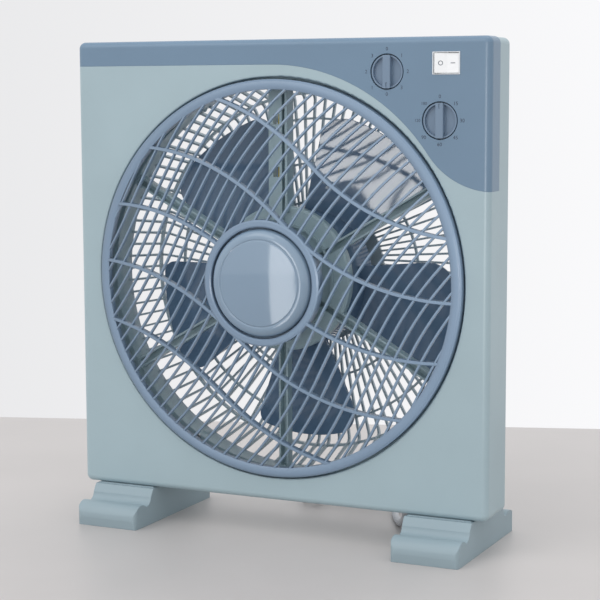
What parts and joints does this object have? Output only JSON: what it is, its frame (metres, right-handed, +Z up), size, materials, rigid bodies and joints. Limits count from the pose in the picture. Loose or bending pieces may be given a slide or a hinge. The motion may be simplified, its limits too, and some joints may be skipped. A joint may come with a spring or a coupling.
{
  "type": "box fan",
  "caption": "Square floor box fan with a domed turning louver, blade behind it, dial controls, two wide feet and a rear basket grille.",
  "frame": {"origin": "centre of the footprint of the feet, on the floor", "axes": "+Z up, the louvered front faces -Y, +X to the right seen from the front"},
  "size_m": [0.4, 0.2656, 0.443],
  "materials": {
    "shell_teal": "satin moulded",
    "panel_blue": "smooth moulded",
    "bracket_grey": "satin moulded",
    "blade_dark": "smooth moulded",
    "steel": "zinc plated",
    "motor_case": "galvanised sheet",
    "laminations": "stacked laminations",
    "copper": "enamelled winding",
    "bronze": "sintered bronze",
    "yellow_lead": "insulated lead",
    "black_plastic": "moulded",
    "cord_grey": "PVC jacket",
    "switch_white": "smooth moulded"
  },
  "bodies": {
    "housing": {"front_shell": "shell_teal", "control_panel": "panel_blue", "rear_shell": "shell_teal", "rear_grille": "shell_teal", "foot_left": "shell_teal", "foot_right": "shell_teal", "foot_screws": "steel", "shell_screws": "steel", "louver_bracket": "bracket_grey", "bracket_screws": "steel", "louver_motor": "motor_case", "louver_motor_screws": "steel", "louver_leads": "yellow_lead", "motor_front_cover": "motor_case", "motor_rear_cover": "motor_case", "motor_stator": "laminations", "motor_coils": "copper", "front_bearing": "bronze", "rear_bearing": "bronze", "motor_screws": "steel", "motor_mount_screws": "steel", "motor_lead_cover": "bracket_grey", "motor_leads": "black_plastic", "capacitor": "black_plastic", "capacitor_clip": "bracket_grey", "speed_switch_body": "black_plastic", "timer_body": "black_plastic", "control_screws": "steel", "rocker_frame": "bracket_grey", "terminal_block": "black_plastic", "panel_wires": "black_plastic", "cord_gland": "cord_grey", "power_cord": "cord_grey", "cord_coil": "cord_grey", "plug": "cord_grey"},
    "impeller": {"fan_blade": "blade_dark", "spinner_nut": "blade_dark", "motor_shaft": "steel", "motor_rotor": "laminations"},
    "louver": {"louver_grille": "panel_blue", "louver_cap": "panel_blue", "louver_spindle": "steel", "louver_screw": "steel"},
    "speed_dial": {"speed_knob": "panel_blue", "speed_spindle": "steel"},
    "timer_dial": {"timer_knob": "panel_blue", "timer_spindle": "steel"},
    "rocker_switch": {"rocker": "switch_white"}
  },
  "joints": [
    {"name": "fan_spin", "type": "hinge", "parent": "housing", "child": "impeller", "pos_m": [0, 0.03, 0.232], "axis": [0, 1, 0], "continuous": true},
    {"name": "louver_spin", "type": "hinge", "parent": "housing", "child": "louver", "pos_m": [0, -0.05, 0.232], "axis": [0, 1, 0], "continuous": true},
    {"name": "speed_turn", "type": "hinge", "parent": "housing", "child": "speed_dial", "pos_m": [0.1072, -0.038, 0.414], "axis": [0, 1, 0], "continuous": true},
    {"name": "timer_turn", "type": "hinge", "parent": "housing", "child": "timer_dial", "pos_m": [0.155, -0.038, 0.373], "axis": [0, 1, 0], "range_deg": [0, 315]},
    {"name": "rocker_tip", "type": "hinge", "parent": "housing", "child": "rocker_switch", "pos_m": [0.1605, -0.0346, 0.42075], "axis": [0, 0, -1], "range_deg": [0, 16]}
  ]
}
